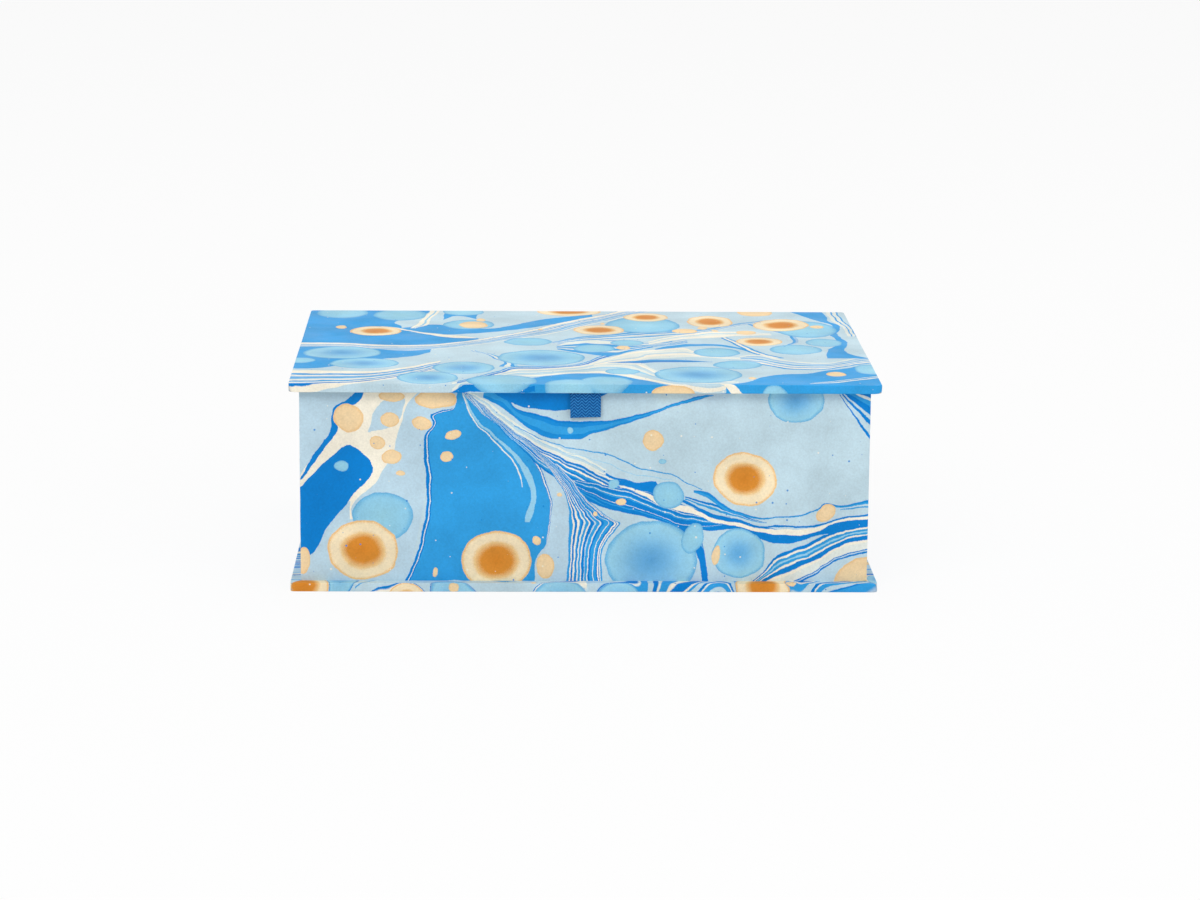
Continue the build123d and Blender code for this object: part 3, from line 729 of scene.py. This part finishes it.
TRAY_RECIPE = {
    "fields": TRAY_FIELDS,
    "stones": TRAY_STONES,
    "low": (-10.0, -10.0),
    "high": (230.0, 90.0),
    "clear": ((-1.0, -4.0), (225.0, 80.0)),
    "flow": (0.50, 0.86, 0.0),
}

# Materials

FLECK_SPACING = 6.0  # mm, cells that may each hold a fleck of stray ink
FLECK_SIZE = 0.42  # mm, the largest fleck's reach
SPECKS = 1400.0  # per metre: the grain of the ink on the paper
CLOUDS = 0.045  # per mm: slow changes in how strong the ink is
TOOTH, FIBRES, PATCHES = 900.0, 2600.0, 70.0  # per metre: hollows, fibres and changes of sheen in paper
MARBLED_DEPTH, LINING_DEPTH, BOARD_DEPTH = 0.00003, 0.00004, 0.00006  # metres of those hollows
RIB_PITCH, WEFT_PITCH = 1.2, 0.6  # mm between the ribs of the ribbon's twill, and its wefts
RIB_COLUMN = 1.5  # mm after which the ribs turn back
RIB_DEPTH = 0.00007  # metres


def new_material(name):
    made = bpy.data.materials.new(name)
    made.use_nodes = True
    graph = Graph(made.node_tree)
    return made, graph, made.node_tree.nodes["Principled BSDF"]


def bumped(graph, shader, height, depth):
    """Gives a shader a bump of this depth in metres from a height of 0 to 1."""
    made = graph.tree.nodes.new("ShaderNodeBump")
    made.inputs["Distance"].default_value = depth
    graph.plug(made.inputs["Height"], height)
    graph.plug(shader.inputs["Normal"], made.outputs[0])


def paper_surface(graph, shader, place, depth):
    """The tooth and fibres of a sheet of paper: small hollows and a roughness that varies."""
    grain = graph.noise(place, TOOTH, 3.0, kind="3D")
    fibres = graph.noise(graph.vector("MULTIPLY", place, (1.0, 2.4, 1.7)), FIBRES, kind="3D")
    bumped(graph, shader, graph.math("ADD", grain, graph.math("MULTIPLY", fibres, 0.5)), depth)
    patches = graph.noise(place, PATCHES, 3.0, kind="3D")
    graph.plug(shader.inputs["Roughness"], graph.spread(patches, 0.3, 0.7, 0.42, 0.6))
    return grain


def marbled_paper(name, recipe):
    made, graph, shader = new_material(name)
    place, sheet = graph.node("TexCoord").outputs["Object"], graph.sheet()
    paper_surface(graph, shader, place, MARBLED_DEPTH)
    specks = graph.spread(graph.noise(place, SPECKS, kind="3D"), 0.3, 0.7, -0.06, 0.05)
    clouds = graph.spread(graph.noise(sheet, CLOUDS, 3.0, 0.6), 0.3, 0.7, 0.9, 1.07)
    shaded = graph.scaled(marbled(graph, recipe), graph.math("ADD", specks, clouds))
    flecks = graph.cells(sheet, FLECK_SPACING)
    chance = graph.node("SeparateXYZ", flecks.outputs["Color"])
    size = graph.math("MULTIPLY", graph.math("POWER", chance.outputs[0], 4.0), FLECK_SIZE)
    apart = graph.math("MULTIPLY", flecks.outputs["Distance"], FLECK_SPACING)
    near = graph.math("SUBTRACT", 1.0, graph.step(graph.math("SUBTRACT", apart, size), -0.1, 0.1))
    near = graph.math("MULTIPLY", near, 0.8)
    deep, cream = INKS["deep"], INKS["cream"]
    tint = graph.ramp(chance.outputs[1], [(0.0, deep), (0.62, deep), (0.64, cream), (1.0, cream)])
    graph.plug(shader.inputs["Base Color"], graph.mix(near, shaded, tint))
    shader.inputs["Specular IOR Level"].default_value = 0.12
    return made


def lining_material():
    made, graph, shader = new_material("Lining paper")
    grain = paper_surface(graph, shader, graph.node("TexCoord").outputs["Object"], LINING_DEPTH)
    # Faint painted shade: the lining's tone follows the height of its tooth, darker in the hollows and
    # lighter where the paper stands up
    tint = graph.ramp(grain, [(0.3, linear(236, 228, 208)), (0.7, linear(244, 238, 222))])
    graph.plug(shader.inputs["Base Color"], tint)
    shader.inputs["Specular IOR Level"].default_value = 0.3
    return made


def board_material():
    made, graph, shader = new_material("Greyboard")
    place = graph.node("TexCoord").outputs["Object"]
    paper_surface(graph, shader, place, BOARD_DEPTH)
    flecks = graph.noise(place, 420.0, 4.0, 0.7, kind="3D")
    tint = graph.ramp(flecks, [(0.35, linear(140, 134, 122)), (0.65, linear(176, 170, 158))])
    graph.plug(shader.inputs["Base Color"], tint)
    return made


def ribbon_material():
    """A fine twill: ribs that climb to the right, turned back and forth in narrow columns. Its blue has
    painted shade in the hollows between the ribs and a painted highlight on their crests, mixed with a
    random tone from the yarn.
    """
    made, graph, shader = new_material("Ribbon twill")
    cloth = graph.sheet()
    parts = graph.node("SeparateXYZ", cloth)
    climb = graph.math("ADD", parts.outputs[1], graph.math("PINGPONG", parts.outputs[0], RIB_COLUMN))
    rib = graph.math("SINE", graph.math("MULTIPLY", climb, 2 * math.pi / RIB_PITCH))
    weft = graph.math("SINE", graph.math("MULTIPLY", parts.outputs[1], 2 * math.pi / WEFT_PITCH))
    height = graph.math("ADD", rib, graph.math("MULTIPLY", weft, 0.35))
    height = graph.math("ADD", graph.math("MULTIPLY", height, 0.37), 0.5)
    bumped(graph, shader, height, RIB_DEPTH)
    yarn = graph.noise(cloth, 1.4, 3.0)
    # The ribbon's colour follows the ribs' height: painted shade in the hollows of the weave and a painted
    # highlight on the crests, with the yarn's random tone mixed in
    depth = graph.math("ADD", graph.math("MULTIPLY", height, 0.75), graph.math("MULTIPLY", yarn, 0.35))
    rib_shaded_blues = [(0.1, linear(0, 48, 104)), (0.55, linear(4, 92, 162)), (1.0, linear(64, 148, 208))]
    graph.plug(shader.inputs["Base Color"], graph.ramp(depth, rib_shaded_blues))
    shader.inputs["Roughness"].default_value = 0.7
    shader.inputs["Specular IOR Level"].default_value = 0.15
    return made


CASE_PAPER = marbled_paper("Marbled paper, case", CASE_RECIPE)
TRAY_PAPER = marbled_paper("Marbled paper, tray", TRAY_RECIPE)
LINING = lining_material()
BOARD = board_material()
RIBBON = ribbon_material()


for name, cad_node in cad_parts.items():
    if name.endswith(("_lining", "_board", "_wall")):
        for slot in cad_node.material_slots:
            slot.material = LINING if name.endswith("_lining") else BOARD

# Paper skins


def slab_sheet(sign, high, low):
    """Unfolds the sheet round a slab. sign is 1 where its face is up, and high is that face's level."""

    def unfold(place, normal):
        x, y, z = (c / MM for c in place)
        edge_x, edge_y = LID_HIGH[0] / MM, LID_HIGH[1] / MM
        drop = abs(z - high / MM)
        thick = abs(high - low) / MM
        nx, ny, nz = normal
        if sign * nz > 0.5:
            return x, y
        if sign * nz < -0.5:
            left, front = edge_x - abs(x), y + edge_y
            if front < left and front < edge_y:
                return x, -edge_y - thick - front
            return math.copysign(edge_x + thick + left, x), y
        if abs(ny) >= abs(nx):
            return x, math.copysign(edge_y + drop, ny)
        return math.copysign(edge_x + drop, nx), y

    return unfold


def base_sheet(place, normal):
    """The same sheet further down: past the spine it turns under the base."""
    x, along = slab_sheet(-1, BASE_LOW[2], BASE_HIGH[2])(place, normal)
    return x, (2 * LID_HIGH[1] + LID_HIGH[2] - BASE_LOW[2]) / MM - along


def spine_sheet(place, normal):
    """The same sheet where it comes down the spine, and the strip inside the hinge."""
    x, y, z = (c / MM for c in place)
    down = LID_HIGH[2] / MM - z
    edge_x, edge_y = LID_HIGH[0] / MM, LID_HIGH[1] / MM
    if normal[1] > 0.5:
        return x, edge_y + down
    if abs(normal[2]) > 0.5:
        return x, 2 * edge_y - y + down
    if abs(normal[0]) > 0.5:
        return math.copysign(edge_x + edge_y - y, x), edge_y + down
    return math.copysign(2 * edge_x - abs(x) + SLAB / MM, x), edge_y + down


RIM_WIDTH = 3.0  # mm across the tray's rim, paper on both sides of its wall


def tray_sheet(place, normal):
    """Unfolds the strip round the tray: across from its front left corner, up from its foot."""
    x, y, z = (c / MM for c in place)
    low_x, high_x = TRAY_LOW[0] / MM, TRAY_HIGH[0] / MM
    low_y, high_y = TRAY_LOW[1] / MM, TRAY_HIGH[1] / MM
    rise = z - TRAY_LOW[2] / MM
    tall = (TRAY_HIGH[2] - TRAY_LOW[2]) / MM
    gaps = {"front": y - low_y, "back": high_y - y, "left": x - low_x, "right": high_x - x}
    side = min(gaps, key=gaps.get)
    inner = gaps[side] > RIM_WIDTH / 2
    if abs(normal[2]) > 0.5:
        up = tall + gaps[side] if rise > tall / 2 else -gaps[side]
    else:
        if abs(normal[1]) >= abs(normal[0]):
            side = "front" if gaps["front"] < gaps["back"] else "back"
        else:
            side = "left" if gaps["left"] < gaps["right"] else "right"
        up = 2 * tall + RIM_WIDTH - rise if inner else rise
    wide, deep = high_x - low_x, high_y - low_y
    across = {
        "front": x - low_x,
        "left": -(y - low_y),
        "right": wide + (y - low_y),
        "back": wide + deep + (high_x - x),
    }
    return across[side], up


EDGE_CUTS = (0.0006, 0.0014, 0.003)  # metres from a piece's ends where its mesh is cut
GENTLE_WAVES, QUICK_WAVES = 24, 130  # per metre
INSET = 0.02  # a face's corners are read this share of the way in, so that an edge stays on its side


def cut_along(mesh, axis, low, high, pitch):
    """Cuts a mesh at planes across an axis, so that its flat faces can follow a gentle wave."""
    normal = Vector([1.0 if at == axis else 0.0 for at in range(3)])
    count = max(int((high - low) / pitch), 1)
    places = [low + (high - low) * at / count for at in range(1, count)]
    places += [low + cut for cut in EDGE_CUTS] + [high - cut for cut in EDGE_CUTS]
    for place in places:
        parts = mesh.verts[:] + mesh.edges[:] + mesh.faces[:]
        bmesh.ops.bisect_plane(mesh, geom=parts, plane_co=normal * place, plane_no=normal, dist=1e-7)


def paper_skin(name, node, unfold, material, body, wave=0.00006, pitch=0.008, corners=None):
    """A skin of paper in a CAD node's place: hand-pasted, so a little uneven, with its sheet map."""
    low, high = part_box(node)
    mesh = bmesh.new()
    mesh.from_mesh(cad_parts[node].data)
    bmesh.ops.remove_doubles(mesh, verts=mesh.verts, dist=1e-6)
    for axis in range(3):
        if high[axis] - low[axis] > 2 * pitch:
            cut_along(mesh, axis, low[axis], high[axis], pitch)
    for vertex in mesh.verts:
        gentle = noise.noise_vector(vertex.co * GENTLE_WAVES)
        quick = noise.noise_vector(vertex.co * QUICK_WAVES)
        offset = gentle * wave + quick * wave * 0.35
        # The base stays flat on the table, and the spine never swells into the lid behind it
        if body == "root" and vertex.co.z < 0.001:
            offset.z = 0
        if vertex.co.y > LID_HIGH[1] - 1e-5:
            offset.y = -abs(offset.y)
        if corners:
            offset += corners(vertex.co)
        moved = vertex.co + offset
        vertex.co = [min(max(c, least), most) for c, least, most in zip(moved, *cad_box)]
    layer = mesh.loops.layers.uv.new("Sheet")
    mesh.normal_update()
    for face in mesh.faces:
        middle = face.calc_center_median()
        for loop in face.loops:
            place = loop.vert.co * (1 - INSET) + middle * INSET
            loop[layer].uv = unfold(place, face.normal)
        face.smooth = True
    data = finished(name, mesh, 40, material)
    piece = bpy.data.objects.new(name, data)
    bpy.context.scene.collection.objects.link(piece)
    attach(piece, body)
    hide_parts(node)


def finished(name, mesh, sharp, material):
    """Turns a working mesh into mesh data with its material; edges over sharp degrees stay sharp."""
    data = bpy.data.meshes.new(name)
    mesh.to_mesh(data)
    mesh.free()
    data.set_sharp_from_angle(angle=math.radians(sharp))
    data.materials.append(material)
    return data


CORNER_REACH = 0.0028  # metres round a slab's corner in which the folded paper sinks
CORNER_SINK = 0.0006  # metres that it sinks at most


def folded_corners(level, away):
    """Draws a slab's four corners in towards level, where the folded paper has no board behind it."""

    def pull(place):
        from_x = LID_HIGH[0] - abs(place.x)
        from_y = LID_HIGH[1] - abs(place.y)
        near = max(0.0, 1 - math.hypot(from_x, from_y) / CORNER_REACH)
        past = max(0.0, (place.z - level) * away) / SLAB
        inward = Vector((-math.copysign(1, place.x), -math.copysign(1, place.y), -away * 0.8))
        return inward * (CORNER_SINK * near * past)

    return pull


lid_corners = folded_corners((LID_LOW[2] + LID_HIGH[2]) / 2, -1)
base_corners = folded_corners((BASE_LOW[2] + BASE_HIGH[2]) / 2, 1)
lid_sheet = slab_sheet(1, LID_HIGH[2], LID_LOW[2])
paper_skin("lid_paper", "lid_cover", lid_sheet, CASE_PAPER, "lid", corners=lid_corners)
paper_skin("base_paper", "base_cover", base_sheet, CASE_PAPER, "root", corners=base_corners)
paper_skin("spine_paper", "spine_cover", spine_sheet, CASE_PAPER, "root")
paper_skin("tray_paper", "tray_wrap", tray_sheet, TRAY_PAPER, "root", pitch=0.009)
paper_skin("spine_hinge_strip", "spine_hinge_leaf", spine_sheet, CASE_PAPER, "root", wave=0.00002)
paper_skin("lid_hinge_strip", "lid_hinge_leaf", spine_sheet, CASE_PAPER, "lid", wave=0.00002)

# Ribbon

RIBBON_PLY = (TAIL_HIGH[2] - TAIL_LOW[2]) / 2
RIBBON_HALF = (TAB_HIGH[0] - TAB_LOW[0]) / 2
TAB_MIDDLE = (TAB_LOW[1] + TAB_HIGH[1]) / 2


TURN_LENGTH, TURN_DROP = 0.002, 0.0012  # metres that the bend out from under the lid takes
BACK_TURN = 0.0006  # the same for the tighter bend behind, where the ribbon goes back under the lid


def ribbon_path():
    """The line of the ribbon's middle, as (y, z): out under the lid, down, round the fold and back."""
    half = RIBBON_PLY / 2
    start_y = TAIL_HIGH[1]
    top_z = TAIL_LOW[2] + RIBBON_PLY * 1.5
    low_z = TAIL_LOW[2] + RIBBON_PLY * 0.5
    fold = (TAB_HIGH[1] - TAB_LOW[1]) / 2 - half
    fold_z = TAB_LOW[2] + fold + half
    front_y, rear_y = TAB_MIDDLE - half * 1.05, TAB_MIDDLE + half * 1.05
    path = [(start_y - (start_y - rear_y - TURN_LENGTH) * at / 8, top_z) for at in range(9)]
    for at in range(1, 7):
        angle = math.pi / 2 * at / 6
        out = front_y + TURN_LENGTH * (1 - math.sin(angle))
        path.append((out, top_z - TURN_DROP * (1 - math.cos(angle))))
    path = [p for p in path if p[0] > front_y]
    drop_start = path[-1][1] - 0.0002
    for at in range(10):
        share = at / 9
        belly = (fold - half) * math.sin(math.pi / 2 * share) ** 2
        path.append((front_y - belly, drop_start + (fold_z - drop_start) * share))
    for at in range(1, 8):
        angle = math.pi * at / 8
        path.append((TAB_MIDDLE - fold * math.cos(angle), fold_z - fold * math.sin(angle)))
    for at in range(10):
        share = 1 - at / 9
        belly = (fold - half) * math.sin(math.pi / 2 * share) ** 2
        path.append((rear_y + belly, fold_z + (low_z - 0.0004 - fold_z) * (1 - share)))
    path.append((rear_y + 0.00025, low_z - 0.00005))
    back_y = rear_y + BACK_TURN
    return path + [(back_y + (start_y - back_y) * at / 8, low_z) for at in range(9)]


def ribbon_mesh():
    """Sweeps the ribbon's flat section along its path, with selvedges a little thicker than the middle."""
    path = ribbon_path()
    across = [-1 + 2 * at / 16 for at in range(17)]
    rings, run = [], 0.0
    for at, (y, z) in enumerate(path):
        before, after = path[max(at - 1, 0)], path[min(at + 1, len(path) - 1)]
        along = Vector((0, after[0] - before[0], after[1] - before[1])).normalized()
        out = Vector((0, along.z, -along.y))
        if at:
            run += math.dist(path[at - 1], path[at])
        top, bottom = [], []
        for share in across:
            x = share * RIBBON_HALF * 0.995
            edge = 0.8 + 0.2 * min(1.0, abs(share) ** 6 * 1.3)
            ripple = noise.noise(Vector((x * 300, run * 240, 0))) * 0.00003
            skew = 0.0002 * share if z < TAB_LOW[2] + 0.003 else 0.0
            centre = Vector((x, y, z + skew))
            half = out * (RIBBON_PLY / 2 * edge)
            top.append((centre + half + out * ripple, (x / MM, run / MM)))
            bottom.append((centre - half + out * ripple, (x / MM, run / MM)))
        rings.append(top + bottom[::-1])
    mesh = bmesh.new()
    layer = mesh.loops.layers.uv.new("Sheet")
    maps = {}
    rows = []
    for ring in rings:
        row = []
        for place, uv in ring:
            vertex = mesh.verts.new(place)
            maps[vertex] = uv
            row.append(vertex)
        rows.append(row)
    count = len(rows[0])
    for first, second in zip(rows, rows[1:]):
        for at in range(count):
            after = (at + 1) % count
            mesh.faces.new((first[at], first[after], second[after], second[at]))
    mesh.faces.new(rows[0][::-1])
    mesh.faces.new(rows[-1])
    for face in mesh.faces:
        face.smooth = True
        for loop in face.loops:
            loop[layer].uv = maps[loop.vert]
    bmesh.ops.recalc_face_normals(mesh, faces=mesh.faces)
    return finished("ribbon", mesh, 50, RIBBON), run


ribbon_data, ribbon_length = ribbon_mesh()
ribbon = bpy.data.objects.new("ribbon", ribbon_data)
bpy.context.scene.collection.objects.link(ribbon)
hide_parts("ribbon_tail", "ribbon_tab")
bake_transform(ribbon)

# Stage, lights and camera


def add_plane(name, size, location, material):
    data = bpy.data.meshes.new(name)
    half = size / 2
    corners = [(-half, -half, 0), (half, -half, 0), (half, half, 0), (-half, half, 0)]
    data.from_pydata(corners, [], [(0, 1, 2, 3)])
    data.materials.append(material)
    plane = bpy.data.objects.new(name, data)
    plane.location = location
    bpy.context.scene.collection.objects.link(plane)
    return plane


def seen_rays(graph):
    """1 for rays that show the backdrop: those of the camera, and those that gloss or glass send on."""
    rays = graph.node("LightPath")
    seen = graph.math("MAXIMUM", rays.outputs["Is Camera Ray"], rays.outputs["Is Glossy Ray"])
    return graph.math("MAXIMUM", seen, rays.outputs["Is Transmission Ray"])


FLOOR_GLOW = 0.9  # share of the floor that is its own white, to such rays


def floor_material():
    """White paper floor: part of its white is its own, so that shadows stay faint."""
    made, graph, shader = new_material("Floor")
    shader.inputs["Base Color"].default_value = (0.8, 0.8, 0.8, 1)
    shader.inputs["Roughness"].default_value = 0.9
    glow = graph.tree.nodes.new("ShaderNodeEmission")
    glow.inputs["Color"].default_value = (1, 1, 1, 1)
    blend = graph.tree.nodes.new("ShaderNodeMixShader")
    graph.plug(blend.inputs[0], graph.math("MULTIPLY", seen_rays(graph), FLOOR_GLOW))
    graph.plug(blend.inputs[1], shader.outputs[0])
    graph.plug(blend.inputs[2], glow.outputs[0])
    graph.plug(graph.tree.nodes["Material Output"].inputs["Surface"], blend.outputs[0])
    return made


floor = add_plane("floor", 12.0, (0, 0, 0), floor_material())

world = bpy.data.worlds.new("Studio")
bpy.context.scene.world = world
world.use_nodes = True
sky = Graph(world.node_tree)
backdrop = world.node_tree.nodes["Background"]
SKY_STRENGTH = 0.55  # what the world gives as light; it looks white itself
sky.plug(backdrop.inputs["Strength"], sky.spread(seen_rays(sky), 0.0, 1.0, SKY_STRENGTH, 1.0))
backdrop.inputs["Color"].default_value = (1, 1, 1, 1)


def add_lamp(name, location, target, size, power):
    light = bpy.data.lights.new(name, "AREA")
    light.shape = "RECTANGLE"
    light.size, light.size_y = size
    light.energy = power
    lamp = bpy.data.objects.new(name, light)
    lamp.location = location
    lamp.rotation_euler = (Vector(target) - Vector(location)).to_track_quat("-Z", "Y").to_euler()
    bpy.context.scene.collection.objects.link(lamp)


add_lamp("key", (-0.7, -1.5, 1.5), (0, 0, 0.04), (1.4, 1.0), 16)
add_lamp("fill", (1.2, -1.1, 0.9), (0, 0, 0.04), (1.2, 1.0), 7)
add_lamp("top", (0.1, 0.5, 1.9), (0, 0, 0.05), (1.6, 1.2), 10)

# Camera: focal length in pixels of a 1200 pixel wide frame, place in metres, angles in degrees
FRAME_WIDTH = 1200
FOCAL_PIXELS = 3544
CAMERA_PLACE = Vector((-0.0303, -1.4393, 0.3495))
PITCH, YAW, ROLL = (math.radians(a) for a in (12.15, 1.52, 0.48))
ahead = Vector((math.sin(YAW) * math.cos(PITCH), math.cos(YAW) * math.cos(PITCH), -math.sin(PITCH)))
level = Vector((math.cos(YAW), -math.sin(YAW), 0))
upward = level.cross(ahead)
right = math.cos(ROLL) * level + math.sin(ROLL) * upward
up = -math.sin(ROLL) * level + math.cos(ROLL) * upward
camera_data = bpy.data.cameras.new("camera")
camera_data.sensor_width = 36.0
camera_data.lens = FOCAL_PIXELS / FRAME_WIDTH * camera_data.sensor_width
camera = bpy.data.objects.new("camera", camera_data)
camera.matrix_world = Matrix.Translation(CAMERA_PLACE) @ Matrix((right, up, -ahead)).transposed().to_4x4()
bpy.context.scene.collection.objects.link(camera)
bpy.context.scene.camera = camera
bpy.context.scene.view_settings.view_transform = "Standard"
